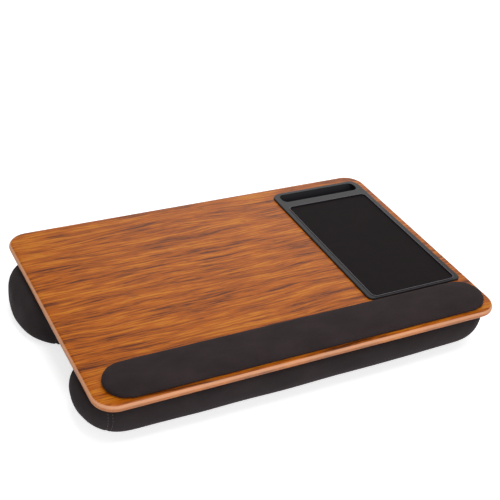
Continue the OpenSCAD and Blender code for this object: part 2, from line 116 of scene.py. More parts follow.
class LapDeskColours(bpy.types.PropertyGroup):
    """Colours of the desk's finishes."""

    foil: FloatVectorProperty(
        name="Wood foil", description="Middle tone of the printed woodgrain foil",
        subtype="COLOR", min=0.0, max=1.0, default=linear("#b15a0c"))
    foil_dark: FloatVectorProperty(
        name="Wood streaks", description="Dark streaks of the printed woodgrain",
        subtype="COLOR", min=0.0, max=1.0, default=linear("#5d2806"))
    foil_light: FloatVectorProperty(
        name="Wood lights", description="Light streaks of the printed woodgrain",
        subtype="COLOR", min=0.0, max=1.0, default=linear("#cf7d20"))
    # Painted highlight: a pale peach colour laid on the board's rounded edge, where light catches
    # it
    foil_edge_highlight: FloatVectorProperty(
        name="Wood edge", description="Paler print where the foil is stretched round the edge",
        subtype="COLOR", min=0.0, max=1.0, default=linear("#edb08a"))
    plastic: FloatVectorProperty(
        name="Moulding", description="Moulded insert and the wrist rest's base",
        subtype="COLOR", min=0.0, max=1.0, default=linear("#1e1c1f"))
    # Painted highlight: the lighter colour given to the moulding's lip, standing in for light on
    # its rounded top
    lip: FloatVectorProperty(
        name="Lip", description="Smooth lip of the moulding round the mouse pad",
        subtype="COLOR", min=0.0, max=1.0, default=linear("#565357"))
    pad_face: FloatVectorProperty(
        name="Mouse pad", description="Woven face of the mouse pad",
        subtype="COLOR", min=0.0, max=1.0, default=linear("#181314"))
    cloth: FloatVectorProperty(
        name="Cushion cloth", description="Brushed cloth of the bolsters",
        subtype="COLOR", min=0.0, max=1.0, default=linear("#302a2b"))
    rest_cloth: FloatVectorProperty(
        name="Wrist rest cloth", description="Smooth cloth of the wrist rest",
        subtype="COLOR", min=0.0, max=1.0, default=linear("#302829"))
    thread: FloatVectorProperty(
        name="Thread", description="Topstitching thread of the cushion",
        subtype="COLOR", min=0.0, max=1.0, default=linear("#3f383a"))


class LapDeskCushion(bpy.types.PropertyGroup):
    """Sizes of the soft pieces and their sewing."""

    voxel: FloatProperty(
        name="Skin mesh", description="Voxel size that a bolster's skin is simulated at",
        unit="LENGTH", default=5 * MM, min=4 * MM, max=8 * MM)
    rest_voxel: FloatProperty(
        name="Wrist rest mesh", description="Voxel size that the wrist rest is simulated at",
        unit="LENGTH", default=3 * MM, min=2.5 * MM, max=6 * MM)
    pressure: FloatProperty(
        name="Pressure", description="Pressure of the filling on the cloth while it swells",
        default=4.0, min=0.0, max=10.0)
    steps: IntProperty(
        name="Steps", description="Frames that the cloth swells for", default=20, min=5, max=40)
    smoothing: IntProperty(
        name="Smoothing", description="How often a skin is smoothed after it has swollen",
        default=6, min=1, max=12)
    start_in: FloatProperty(
        name="Start inset", description="How far inside its final form a bolster starts",
        unit="LENGTH", default=1.5 * MM, min=0.0, max=10 * MM)
    swell_in: FloatProperty(
        name="Hollow limit", description="Furthest that a skin may lie inside its filling's form",
        unit="LENGTH", default=0.5 * MM, min=0.0, max=6 * MM)
    swell_out: FloatProperty(
        name="Swell limit",
        description="Furthest that a skin may stand out from its filling's form",
        unit="LENGTH", default=1.5 * MM, min=0.0, max=6 * MM)
    rest_settle: FloatVectorProperty(
        name="Wrist rest settling", description="How far the wrist rest's foam leans to the right "
        "and to the back, then how far it swells at its sides, its corners and its upper edge",
        size=5, unit="LENGTH", default=(3.0 * MM, -2.0 * MM, 2.3 * MM, 0.3 * MM, 1.3 * MM))
    front_settle: FloatVectorProperty(
        name="Front settling", description="How far the front filling leans to the right and to "
        "the back, then how far it swells at its sides, its corners and its lower edge",
        size=5, unit="LENGTH", default=(-2.7 * MM, 1.0 * MM, 1.9 * MM, 0.3 * MM, -2.6 * MM))
    rear_settle: FloatVectorProperty(
        name="Rear settling", description="How far the rear filling leans to the right and to "
        "the back, then how far it swells at its sides, its corners and its lower edge",
        size=5, unit="LENGTH", default=(0.0, 0.0, 2.0 * MM, 1.3 * MM, 4.0 * MM))
    lump_size: FloatProperty(
        name="Lump size", description="Distance over which a bolster's filling is uneven",
        unit="LENGTH", default=70 * MM, min=20 * MM, max=200 * MM)
    lump_height: FloatProperty(
        name="Lump height", description="How far the filling's lumps lift the cloth",
        unit="LENGTH", default=0.8 * MM, min=0.0, max=4 * MM)
    seam_out: FloatProperty(
        name="Seam place",
        description="Distance of a seam from the straight side, round the corner",
        unit="LENGTH", default=26 * MM, min=0.0, max=40 * MM)
    seam_depth: FloatProperty(
        name="Seam depth", description="Depth to which a sewn seam pulls the cloth in",
        unit="LENGTH", default=0.8 * MM, min=0.0, max=4 * MM)
    seam_reach: FloatProperty(
        name="Seam reach", description="Distance from a seam at which the cloth is full again",
        unit="LENGTH", default=7 * MM, min=2 * MM, max=20 * MM)
    pucker: FloatProperty(
        name="Pucker", description="Height of the puckers along a seam",
        unit="LENGTH", default=0.5 * MM, min=0.0, max=2 * MM)
    stitch: FloatProperty(
        name="Stitch", description="Length of one topstitch",
        unit="LENGTH", default=2.8 * MM, min=1 * MM, max=6 * MM)
    stitch_pitch: FloatProperty(
        name="Stitch pitch", description="Distance from one topstitch to the next",
        unit="LENGTH", default=4 * MM, min=2 * MM, max=8 * MM)
    stitch_out: FloatProperty(
        name="Stitch distance", description="Distance of a row of topstitches from its seam",
        unit="LENGTH", default=2.3 * MM, min=1 * MM, max=8 * MM)


class LapDeskStage(bpy.types.PropertyGroup):
    """The camera and the lamps."""

    place: FloatVectorProperty(
        name="Camera place", description="Where the camera stands",
        subtype="TRANSLATION", unit="LENGTH", default=(-0.5471, -0.9223, 0.8047))
    heading: FloatProperty(
        name="Heading", description="Turn of the view about the upright, from straight ahead",
        subtype="ANGLE", default=math.radians(-30.51))
    tilt: FloatProperty(
        name="Tilt", description="Angle of the view below the horizon",
        subtype="ANGLE", default=math.radians(33.31))
    roll: FloatProperty(
        name="Roll", description="Turn of the camera about its own axis",
        subtype="ANGLE", default=math.radians(6.52))
    focal: FloatProperty(
        name="Focal length", description="Focal length of the camera's lens",
        subtype="DISTANCE_CAMERA", default=1018.2 * SENSOR_WIDTH / PHOTO_PIXELS)
    overhead: FloatProperty(
        name="Overhead lamp", description="Power of the softbox overhead, in watts",
        default=12.5, min=0.0)
    back: FloatProperty(
        name="Back lamp", description="Power of the lamp behind, in watts",
        default=9.0, min=0.0)
    front: FloatProperty(
        name="Front lamp", description="Power of the wide low lamp in front, in watts",
        default=12.0, min=0.0)
    ambient: FloatProperty(
        name="Ambient", description="Strength of the even light from all round",
        default=0.28, min=0.0)
    floor_glow: FloatProperty(
        name="Floor glow", description="How much lighter than its paper the floor is shown",
        default=0.7, min=0.0, max=1.0)


# Materials


def add_node(tree, kind, inputs=None, stops=None, **settings):
    """Adds a node with its settings. An input that is a socket is linked, and any other is set."""
    made = tree.nodes.new(kind)
    for name, value in settings.items():
        setattr(made, name, value)
    for name, value in (inputs or {}).items():
        if isinstance(value, bpy.types.NodeSocket):
            tree.links.new(value, made.inputs[name])
        else:
            made.inputs[name].default_value = value
    for at, (position, colour) in enumerate(stops or []):
        stop = made.color_ramp.elements[at] if at < 2 else made.color_ramp.elements.new(position)
        stop.position = position
        stop.color = colour
    return made


def start_material(name):
    """An empty material with its node tree and the object's own coordinates."""
    material = bpy.data.materials.new(name)
    material.use_nodes = True
    tree = material.node_tree
    tree.nodes.clear()
    place = add_node(tree, "ShaderNodeTexCoord").outputs["Object"]
    return material, tree, place


def end_material(tree, bump, inputs):
    """Gives a material its surface, with bump as (height socket, depth in metres)."""
    height, depth = bump
    normal = add_node(tree, "ShaderNodeBump", {
        "Height": height, "Distance": depth, "Strength": 1.0})
    surface = add_node(
        tree, "ShaderNodeBsdfPrincipled", {"Normal": normal.outputs["Normal"], **inputs})
    add_node(tree, "ShaderNodeOutputMaterial", {"Surface": surface.outputs["BSDF"]})


def grain(tree, place, size, detail=2.0, roughness=0.5, stretch=(1.0, 1.0, 1.0)):
    """A noise whose lumps are size metres across, drawn out along each axis by stretch. Along an
    axis with no stretch it doesn't change."""
    laid = add_node(tree, "ShaderNodeMapping", {
        "Vector": place, "Scale": [every(size * s) if s else 0.0 for s in stretch]})
    made = add_node(tree, "ShaderNodeTexNoise", {
        "Vector": laid.outputs["Vector"], "Scale": 1.0, "Detail": detail, "Roughness": roughness})
    return made.outputs["Fac"]


def woodgrain_foil(colours):
    """Melamine paper foil with a printed teak grain: broad bands, long fine streaks along the
    board and short dark pores, all of them wavering a little. A highlight is painted on the
    rounded edge as a paler peach colour, and a satin lacquer lies over it."""
    material, tree, place = start_material("woodgrain_paper_foil")
    # A slow drift of the whole figure, so that no streak runs straight
    wander = add_node(tree, "ShaderNodeMapping", {
        "Vector": place, "Scale": (every(190 * MM), every(60 * MM), 0.0)})
    drift = add_node(tree, "ShaderNodeTexNoise", {
        "Vector": wander.outputs["Vector"], "Scale": 1.0, "Detail": 2.0, "Roughness": 0.5})
    bent = add_node(tree, "ShaderNodeVectorMath", {
        0: drift.outputs["Color"], 1: (0.0, 22 * MM, 0.0), 2: place}, operation="MULTIPLY_ADD")
    laid = bent.outputs["Vector"]
    # Bands and streaks mix to one figure, and its tone goes from dark to light
    bands = grain(tree, laid, 13 * MM, detail=1.0, stretch=(12.0, 1.0, 0))
    streaks = grain(tree, laid, 2.8 * MM, detail=3.5, roughness=0.68, stretch=(20.0, 1.0, 0))
    pores = grain(tree, laid, 1.7 * MM, detail=1.0, stretch=(11.0, 1.0, 0))
    share = 0.35
    figure = add_node(tree, "ShaderNodeMath", {0: bands, 1: share}, operation="MULTIPLY")
    figure = add_node(tree, "ShaderNodeMath", {
        0: streaks, 1: 1.0 - share, 2: figure.outputs["Value"]}, operation="MULTIPLY_ADD")
    tone = add_node(tree, "ShaderNodeValToRGB", {"Fac": figure.outputs["Value"]}, stops=[
        (0.39, scaled(colours.foil_dark, 1.0)), (0.6, scaled(colours.foil_light, 1.0)),
        (0.455, scaled(colours.foil, 0.8)), (0.52, scaled(colours.foil, 1.1))])
    pore = add_node(tree, "ShaderNodeMapRange", {
        "Value": pores, "From Min": 0.6, "From Max": 0.72, "To Min": 0.0, "To Max": 0.45})
    inked = add_node(tree, "ShaderNodeMix", {
        0: pore.outputs["Result"], 6: tone.outputs["Color"], 7: scaled(colours.foil_dark, 0.6)},
        data_type="RGBA")
    # The painted highlight begins just over the turn of the edge and fades towards its lower half
    height = add_node(tree, "ShaderNodeSeparateXYZ", {"Vector": place}).outputs["Z"]
    nose_low = add_node(tree, "ShaderNodeMapRange", {
        "Value": height, "From Min": BOARD_HIGH.z - 5 * MM, "From Max": BOARD_HIGH.z - 2.5 * MM,
        "To Min": 0.4, "To Max": 1.0}, interpolation_type="SMOOTHSTEP")
    nose_high = add_node(tree, "ShaderNodeMapRange", {
        "Value": height, "From Min": BOARD_HIGH.z - 1.3 * MM, "From Max": BOARD_HIGH.z - 0.4 * MM,
        "To Min": 0.8, "To Max": 0.0}, interpolation_type="SMOOTHSTEP")
    nose = add_node(tree, "ShaderNodeMath", {
        0: nose_low.outputs["Result"], 1: nose_high.outputs["Result"]}, operation="MULTIPLY")
    edge_highlighted = add_node(tree, "ShaderNodeMix", {
        0: nose.outputs["Value"], 6: inked.outputs[2], 7: scaled(colours.foil_edge_highlight, 1.0)},
        data_type="RGBA")
    satin = add_node(tree, "ShaderNodeMapRange", {
        "Value": streaks, "From Min": 0.3, "From Max": 0.7, "To Min": 0.3, "To Max": 0.42})
    end_material(tree, (streaks, 0.05 * MM), {
        "Base Color": edge_highlighted.outputs[2], "Roughness": satin.outputs["Result"],
        "IOR": 1.5, "Specular IOR Level": 0.11})
    return material


def raw_fibreboard(name, light, dark):
    """Pressed wood fibre, sawn or smooth: matt, with short fibres in two tones."""
    material, tree, place = start_material(name)
    fibres = grain(tree, place, 0.9 * MM, detail=3.0, roughness=0.7, stretch=(3.0, 1.0, 1.0))
    patches = grain(tree, place, 30 * MM)
    mixed = add_node(tree, "ShaderNodeMath", {0: fibres, 1: patches}, operation="MULTIPLY")
    tone = add_node(tree, "ShaderNodeValToRGB", {"Fac": mixed.outputs["Value"]}, stops=[
        (0.15, (*linear(dark), 1.0)), (0.4, (*linear(light), 1.0))])
    end_material(tree, (fibres, 0.12 * MM), {
        "Base Color": tone.outputs["Color"], "Roughness": 0.85, "IOR": 1.45})
    return material


def moulded_abs(name, colour, roughness, lip, lip_from):
    """Injection moulded ABS with a fine spark-eroded face: even dark grey with a soft sheen, and a
    smooth lip above the height lip_from, given the lighter colour lip as a painted highlight. The
    real texture is about 0.1 mm, too fine to show, so it is drawn 0.7 mm coarse."""
    material, tree, place = start_material(name)
    texture = grain(tree, place, 0.7 * MM, detail=3.0, roughness=0.6)
    flow = grain(tree, place, 45 * MM)
    tone = add_node(tree, "ShaderNodeValToRGB", {"Fac": flow}, stops=[
        (0.3, scaled(colour, 0.93)), (0.7, scaled(colour, 1.07))])
    height = add_node(tree, "ShaderNodeSeparateXYZ", {"Vector": place}).outputs["Z"]
    # Painted highlight: above lip_from the moulding takes the lighter lip colour, where light
    # catches the lip
    lip_highlight_mask = add_node(tree, "ShaderNodeMapRange", {
        "Value": height, "From Min": lip_from, "From Max": lip_from + 0.2 * MM})
    lip_highlighted = add_node(tree, "ShaderNodeMix", {
        0: lip_highlight_mask.outputs["Result"], 6: tone.outputs["Color"], 7: scaled(lip, 1.0)},
        data_type="RGBA")
    satin = add_node(tree, "ShaderNodeMapRange", {
        "Value": texture, "From Min": 0.3, "From Max": 0.7,
        "To Min": roughness - 0.05, "To Max": roughness + 0.05})
    end_material(tree, (texture, 0.03 * MM), {
        "Base Color": lip_highlighted.outputs[2], "Roughness": satin.outputs["Result"], "IOR": 1.54,
        "Specular IOR Level": 0.12})
    return material


def woven_polyester(colours):
    """Tightly woven polyester on the mouse pad: nearly black, with a fine even weave.
    The real threads are 0.4 mm apart, too fine to show, so they are drawn 1 mm apart."""
    material, tree, place = start_material("woven_polyester")
    threads = []
    for axis in ("X", "Y"):
        thread = add_node(tree, "ShaderNodeTexWave", {
            "Vector": place, "Scale": every(1 * MM) / math.tau, "Distortion": 0.3, "Detail": 1.0},
            bands_direction=axis)
        threads.append(thread.outputs["Fac"])
    weave = add_node(tree, "ShaderNodeMath", {0: threads[0], 1: threads[1]}, operation="MULTIPLY")
    nap = grain(tree, place, 18 * MM, detail=3.0)
    mixed = add_node(tree, "ShaderNodeMath", {
        0: weave.outputs["Value"], 1: 0.5, 2: nap}, operation="MULTIPLY_ADD")
    tone = add_node(tree, "ShaderNodeValToRGB", {"Fac": mixed.outputs["Value"]}, stops=[
        (0.3, scaled(colours.pad_face, 0.85)), (0.95, scaled(colours.pad_face, 1.18))])
    end_material(tree, (weave.outputs["Value"], 0.08 * MM), {
        "Base Color": tone.outputs["Color"], "Roughness": 0.82, "IOR": 1.45,
        "Specular IOR Level": 0.1})
    return material


def sponge_rubber():
    """Closed-cell rubber under the mouse pad: black and matt, with tiny cells."""
    material, tree, place = start_material("sponge_rubber")
    cells = add_node(tree, "ShaderNodeTexVoronoi", {"Vector": place, "Scale": every(0.8 * MM)})
    tone = add_node(tree, "ShaderNodeValToRGB", {"Fac": cells.outputs["Distance"]}, stops=[
        (0.1, (*linear("#171617"), 1.0)), (0.6, (*linear("#262425"), 1.0))])
    end_material(tree, (cells.outputs["Distance"], 0.1 * MM), {
        "Base Color": tone.outputs["Color"], "Roughness": 0.9, "IOR": 1.5})
    return material


def brushed_microfibre(name, colour, nap_size, sheen):
    """Brushed polyester microfibre: dark and matt, with a short nap that goes lighter at grazing
    angles and lies unevenly. Its fibres are finer than a pixel, and are drawn nap_size apart."""
    material, tree, place = start_material(name)
    nap = grain(tree, place, nap_size, detail=4.0, roughness=0.7)
    strokes = grain(tree, place, 26 * MM, detail=3.0, roughness=0.55, stretch=(1.6, 1.0, 1.0))
    mixed = add_node(
        tree, "ShaderNodeMath", {0: nap, 1: 0.6, 2: strokes}, operation="MULTIPLY_ADD")
    tone = add_node(tree, "ShaderNodeValToRGB", {"Fac": mixed.outputs["Value"]}, stops=[
        (0.55, scaled(colour, 0.82)), (1.05, scaled(colour, 1.2))])
    end_material(tree, (nap, 0.14 * MM), {
        "Base Color": tone.outputs["Color"], "Roughness": 0.88, "IOR": 1.42,
        "Specular IOR Level": 0.15, "Sheen Weight": sheen, "Sheen Roughness": 0.45,
        "Sheen Tint": scaled(colour, 5.0)})
    return material


def sewing_thread(colours):
    """Twisted polyester thread: a tight ply with a slight gloss."""
    material, tree, place = start_material("sewing_thread")
    ply = add_node(tree, "ShaderNodeTexWave", {
        "Vector": place, "Scale": every(0.8 * MM) / math.tau, "Distortion": 1.0},
        bands_direction="DIAGONAL")
    tone = add_node(tree, "ShaderNodeValToRGB", {"Fac": ply.outputs["Fac"]}, stops=[
        (0.1, scaled(colours.thread, 0.7)), (0.9, scaled(colours.thread, 1.4))])
    end_material(tree, (ply.outputs["Fac"], 0.05 * MM), {
        "Base Color": tone.outputs["Color"], "Roughness": 0.6, "IOR": 1.5})
    return material


def zinc_plated_steel():
    """Zinc-plated screw steel: bright bluish grey, a little mottled."""
    material, tree, place = start_material("zinc_plated_steel")
    spangle = grain(tree, place, 1.2 * MM, detail=2.0)
    tone = add_node(tree, "ShaderNodeValToRGB", {"Fac": spangle}, stops=[
        (0.3, (*linear("#a4a8ac"), 1.0)), (0.7, (*linear("#c9ccd0"), 1.0))])
    satin = add_node(tree, "ShaderNodeMapRange", {
        "Value": spangle, "From Min": 0.3, "From Max": 0.7, "To Min": 0.28, "To Max": 0.42})
    end_material(tree, (spangle, 0.02 * MM), {
        "Base Color": tone.outputs["Color"], "Metallic": 1.0,
        "Roughness": satin.outputs["Result"]})
    return material


def background_rays(tree):
    """1 for the rays that show the background: the camera's, and those of gloss and glass."""
    ray = add_node(tree, "ShaderNodeLightPath")
    shown = ray.outputs["Is Camera Ray"]
    for kind in ("Is Transmission Ray", "Is Glossy Ray"):
        either = add_node(
            tree, "ShaderNodeMath", {0: shown, 1: ray.outputs[kind]}, operation="MAXIMUM")
        shown = either.outputs["Value"]
    return shown


def finish_node(name, material):
    """Gives a frame node its finish."""
    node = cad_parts[name]
    node.data.materials.clear()
    node.data.materials.append(material)


# Soft pieces


def new_object(name, mesh, material):
    """A piece at the origin, with smooth faces and its finish."""
    piece = bpy.data.objects.new(name, mesh)
    bpy.context.scene.collection.objects.link(piece)
    mesh.materials.clear()
    mesh.materials.append(material)
    mesh.shade_smooth()
    return piece


def bake_modifiers(piece):
    """Replaces a piece's mesh by what its modifiers make of it."""
    graph = bpy.context.evaluated_depsgraph_get()
    graph.update()
    baked = bpy.data.meshes.new_from_object(piece.evaluated_get(graph))
    piece.modifiers.clear()
    old = piece.data
    piece.data = baked
    bpy.data.meshes.remove(old)


def verts_in(geometry):
    """The vertices among the elements that an operator gave back."""
    return [g for g in geometry if isinstance(g, bmesh.types.BMVert)]


def hull_of(names):
    """The convex form that a group of soft nodes fills together."""
    form = bmesh.new()
    for name in names:
        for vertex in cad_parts[name].data.vertices:
            form.verts.new(vertex.co)
    bmesh.ops.remove_doubles(form, verts=form.verts, dist=MERGE)
    hull = bmesh.ops.convex_hull(form, input=form.verts)
    inside = dict.fromkeys(verts_in(hull["geom_interior"] + hull["geom_unused"]))
    bmesh.ops.delete(form, geom=list(inside), context="VERTS")
    bmesh.ops.recalc_face_normals(form, faces=form.faces)
    return form


def shift_along_normals(form, by):
    """Moves every vertex along its normal."""
    form.normal_update()
    moved = [(v, v.co + v.normal * by) for v in form.verts]
    for vertex, place in moved:
        vertex.co = place


def hold_between(form, low, high):
    """Presses a form flat where it would pass a floor or a ceiling."""
    for vertex in form.verts:
        vertex.co.z = min(high, max(low, vertex.co.z))


def settle(form, lean_x, lean_y, side, corner, rim, glued, fade):
    """Lets a filling settle: it leans over, and swells or slackens at its sides, its corners and
    the rim of its free face, all of it fading in over the distance fade from the height glued.
    The sign of fade says whether the free face looks up or down."""
    form.normal_update()
    away = math.copysign(1.0, fade)
    moved = []
    for vertex in form.verts:
        out = vertex.normal
        flat = math.hypot(out.x, out.y)
        swell = (side * flat ** 2 + 2 * corner * abs(out.x * out.y)
                 + 2 * rim * flat * max(0.0, away * out.z))
        hold = min(1.0, max(0.0, (vertex.co.z - glued) / fade))
        moved.append((vertex, vertex.co + (out * swell + Vector((lean_x, lean_y, 0.0))) * hold))
    for vertex, place in moved:
        vertex.co = place


def blow_up(piece, pinned):
    """Swells a piece as cloth under pressure from inside, held at the points pinned."""
    cushion = bpy.context.scene.lap_desk_cushion
    pins = piece.vertex_groups.new(name="pins")
    pins.add(pinned, 1.0, "REPLACE")
    cloth = piece.modifiers.new("cloth", "CLOTH")
    settings = cloth.settings
    settings.quality = 5
    settings.use_pressure = True
    settings.uniform_pressure_force = cushion.pressure
    settings.effector_weights.gravity = 0.0
    settings.vertex_group_mass = "pins"
    cloth.point_cache.frame_start = 1
    cloth.point_cache.frame_end = cushion.steps
    for step in range(1, cushion.steps + 1):
        bpy.context.scene.frame_set(step)
    bake_modifiers(piece)
    bpy.context.scene.frame_set(1)


def swollen(name, names, material, voxel, start_in, settled, held, pinned, low, high):
    """A soft piece blown up by its filling: the nodes' form, remeshed and settled, started a
    little small, and swollen as cloth under pressure. settled and held are what settle takes, and
    pinned says which points are glued down."""
    cushion = bpy.context.scene.lap_desk_cushion
    mesh = bpy.data.meshes.new(name)
    form = hull_of(names)
    form.to_mesh(mesh)
    form.free()
    piece = new_object(name, mesh, material)
    remesh = piece.modifiers.new("skin", "REMESH")
    remesh.mode = "VOXEL"
    remesh.voxel_size = voxel
    bake_modifiers(piece)

    form = bmesh.new()
    form.from_mesh(piece.data)
    settle(form, *settled, *held)
    form.normal_update()
    full = [(v.co.copy(), v.normal.copy()) for v in form.verts]
    shift_along_normals(form, -start_in)
    for vertex, (place, _) in zip(form.verts, full):
        if pinned(place):
            vertex.co = place
    form.to_mesh(piece.data)
    form.free()

    blow_up(piece, [i for i, (place, _) in enumerate(full) if pinned(place)])

    # The cloth may slide and rise only so far from the settled form
    form = bmesh.new()
    form.from_mesh(piece.data)
    for vertex, (place, out) in zip(form.verts, full):
        rise = (vertex.co - place).dot(out)
        slide = vertex.co - place - out * rise
        slide *= min(1.0, cushion.swell_out / max(slide.length, MERGE))
        vertex.co = place + slide + out * min(cushion.swell_out, max(-cushion.swell_in, rise))
    free = [v for v, (place, _) in zip(form.verts, full) if not pinned(place)]
    for _ in range(cushion.smoothing):
        bmesh.ops.smooth_vert(
            form, verts=free, factor=0.5, use_axis_x=True, use_axis_y=True, use_axis_z=True)
    hold_between(form, low, high)
    form.to_mesh(piece.data)
    form.free()
    piece.vertex_groups.clear()
    finer = piece.modifiers.new("finer", "SUBSURF")
    finer.levels = finer.render_levels = 1
    bake_modifiers(piece)
    return piece


def cut_at(form, x, **clear):
    """Cuts a form along an upright plane across the desk."""
    return bmesh.ops.bisect_plane(
        form, geom=[*form.verts, *form.edges, *form.faces], dist=MERGE,
        plane_co=(x, 0.0, 0.0), plane_no=(1.0, 0.0, 0.0), **clear)


def sew_seam(form, x, low):
    """Pulls the cloth in along a seam and puckers it beside the thread. A pucker is short along
    the seam and long across it."""
    cushion = bpy.context.scene.lap_desk_cushion
    reach = cushion.seam_reach
    groove_reach, pucker_reach = 0.3 * reach, 0.9 * reach
    pucker_across, pucker_along = 40 * MM, 6 * MM
    for share in (-1.0, -0.6, -0.3, -0.1, 0.0, 0.1, 0.3, 0.6, 1.0):
        cut_at(form, x + share * reach)
    form.normal_update()
    moved = []
    for vertex in form.verts:
        off = abs(vertex.co.x - x)
        if off < 2 * reach and vertex.co.z > low + MM:
            groove = math.exp(-(off / groove_reach) ** 2) * cushion.seam_depth
            spot = Vector((
                vertex.co.x / pucker_across, vertex.co.y / pucker_along,
                vertex.co.z / pucker_along))
            fade = math.exp(-(off / pucker_reach) ** 2)
            rise = noise.noise(spot) * cushion.pucker * fade
            moved.append((vertex, vertex.co + vertex.normal * (rise - groove)))
    for vertex, place in moved:
        vertex.co = place


def unevenness(form, size, height, low):
    """Gives a filled skin the slight lumps of its loose filling."""
    form.normal_update()
    moved = [
        (v, v.co + v.normal * noise.noise(v.co / size) * height)
        for v in form.verts if v.co.z > low + MM]
    for vertex, place in moved:
        vertex.co = place


def section_path(form, x):
    """The skin's outline in the plane at x, in order, with its outward normals."""
    slice_form = form.copy()
    cut = cut_at(slice_form, x)
    slice_form.normal_update()
    points = [(v.co.copy(), v.normal.copy()) for v in verts_in(cut["geom_cut"])]
    slice_form.free()
    centre = sum((p for p, _ in points), Vector()) / len(points)
    points.sort(key=lambda item: math.atan2(item[0].z - centre.z, item[0].y - centre.y))
    return points


def stitch_row(stitches, form, x, low, high):
    """Lays a row of topstitches on the skin, along the plane at x."""
    cushion = bpy.context.scene.lap_desk_cushion
    path = section_path(form, x)
    travelled = 0.0
    due = 0.0
    for (start, out), (end, _) in zip(path, path[1:] + path[:1]):
        step = (end - start).length
        while due <= travelled + step:
            spot = start.lerp(end, (due - travelled) / max(step, MERGE))
            if low + MM < spot.z < high - MM:
                turn = (end - start).to_track_quat("X", "Z").to_matrix().to_4x4()
                made = bmesh.ops.create_uvsphere(stitches, u_segments=8, v_segments=5, radius=1.0)
                bmesh.ops.scale(
                    stitches, verts=made["verts"],
                    vec=(cushion.stitch / 2, THREAD_RADIUS, THREAD_RADIUS))
                bmesh.ops.transform(stitches, verts=made["verts"], matrix=turn)
                bmesh.ops.translate(stitches, verts=made["verts"], vec=spot + out * THREAD_LIFT)
            due += cushion.stitch_pitch
        travelled += step


def panel_from(form, name, material, x0=None, x1=None):
    """One sewn panel of a skin, between two planes, closed where it is cut."""
    panel = form.copy()
    if x0 is not None:
        cut_at(panel, x0, clear_inner=True)
    if x1 is not None:
        cut_at(panel, x1, clear_outer=True)
    rims = [e for e in panel.edges if e.is_boundary]
    caps = bmesh.ops.holes_fill(panel, edges=rims, sides=0)["faces"]
    bmesh.ops.triangulate(panel, faces=caps)
    bmesh.ops.recalc_face_normals(panel, faces=panel.faces)
    mesh = bpy.data.meshes.new(name)
    panel.to_mesh(mesh)
    panel.free()
    piece = new_object(name, mesh, material)
    mesh.set_sharp_from_angle(angle=math.radians(50))
    return piece


def make_bolster(which, settled, cloth, thread):
    """A bolster as three sewn panels over its filling, with topstitching beside both seams."""
    cushion = bpy.context.scene.lap_desk_cushion
    names = [f"{which}_bolster_{part}" for part in ("sleeve", "end_left", "end_right")]
    low = CAD_BOX[0].z + FLOOR_GAP
    high = BOARD_LOW.z - BOARD_GAP
    skin = swollen(
        f"{which}_skin", names, cloth, cushion.voxel, cushion.start_in, settled,
        (high, -SETTLE_FADE), lambda place: place.z > BACKING_TOP, low, high)
    sleeve_low, sleeve_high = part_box(names[0])
    seams = (sleeve_low.x - cushion.seam_out, sleeve_high.x + cushion.seam_out)
    form = bmesh.new()
    form.from_mesh(skin.data)
    unevenness(form, cushion.lump_size, cushion.lump_height, low)
    for x in seams:
        sew_seam(form, x, low)
    hold_between(form, low, high)
    left, right = seams
    panels = [
        panel_from(form, f"{which}_bolster_cloth", cloth, left + SEAM_GAP, right - SEAM_GAP),
        panel_from(form, f"{which}_bolster_end_cloth_left", cloth, None, left - SEAM_GAP),
        panel_from(form, f"{which}_bolster_end_cloth_right", cloth, right + SEAM_GAP, None),
    ]
    for panel, node in zip(panels, names):
        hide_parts(node)
        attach(panel, BODY)
    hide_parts(f"{which}_bolster_fill")

    stitches = bmesh.new()
    for x in seams:
        for side in (-1, 1):
            stitch_row(stitches, form, x + side * cushion.stitch_out, low, high)
    mesh = bpy.data.meshes.new(f"{which}_bolster_stitches")
    stitches.to_mesh(mesh)
    stitches.free()
    form.free()
    sewn = new_object(mesh.name, mesh, thread)
    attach(sewn, BODY)
    bpy.data.objects.remove(skin)


class LAPDESK_OT_board(bpy.types.Operator):
    """Finishes the board: printed wood foil over raw fibreboard"""

    bl_idname = "lapdesk.board"
    bl_label = "Finish Board"

    def execute(self, context):
        finish_node("woodgrain_laminate", woodgrain_foil(context.scene.lap_desk_colours))
        finish_node("desk_board", raw_fibreboard("sawn_fibreboard", "#b48f60", "#8a6840"))
        return {"FINISHED"}


class LAPDESK_OT_insert(bpy.types.Operator):
    """Finishes the moulded insert and the mouse pad that lies in it"""

    bl_idname = "lapdesk.insert"
    bl_label = "Finish Insert"

    def execute(self, context):
        colours = context.scene.lap_desk_colours
        lip_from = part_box("insert_tray")[1].z - 0.5 * MM
        finish_node("insert_tray", moulded_abs(
            "spark_eroded_abs", colours.plastic, roughness=0.36, lip=colours.lip,
            lip_from=lip_from))
        finish_node("mouse_pad_rubber", sponge_rubber())
        finish_node("mouse_pad_cloth", woven_polyester(colours))
        return {"FINISHED"}


class LAPDESK_OT_wrist_rest(bpy.types.Operator):
    """Makes the padded wrist rest and finishes its base plate and screws"""

    bl_idname = "lapdesk.wrist_rest"
    bl_label = "Make Wrist Rest"

    def execute(self, context):
        colours = context.scene.lap_desk_colours
        cushion = context.scene.lap_desk_cushion
        cloth = brushed_microfibre(
            "smooth_microfibre", colours.rest_cloth, nap_size=1.0 * MM, sheen=0.06)
        low = BOARD_HIGH.z + FLOOR_GAP
        hem_top = low + 1.5 * MM
        start_in = 0.8 * MM
        swell_room = 2 * MM
        rest = swollen(
            "wrist_rest_padded_cover", ["wrist_rest_cover"], cloth, cushion.rest_voxel, start_in,
            cushion.rest_settle, (low - MM, MM), lambda place: place.z < hem_top, low,
            CAD_BOX[1].z + swell_room)
        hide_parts("wrist_rest_cover", "wrist_rest_foam")
        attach(rest, BODY)
        # The base plate has no painted highlight on a lip
        finish_node("wrist_rest_base", moulded_abs(
            "matt_abs", colours.plastic, roughness=0.6, lip=colours.plastic,
            lip_from=CAD_BOX[1].z))
        finish_node("wrist_rest_screws", zinc_plated_steel())
        return {"FINISHED"}


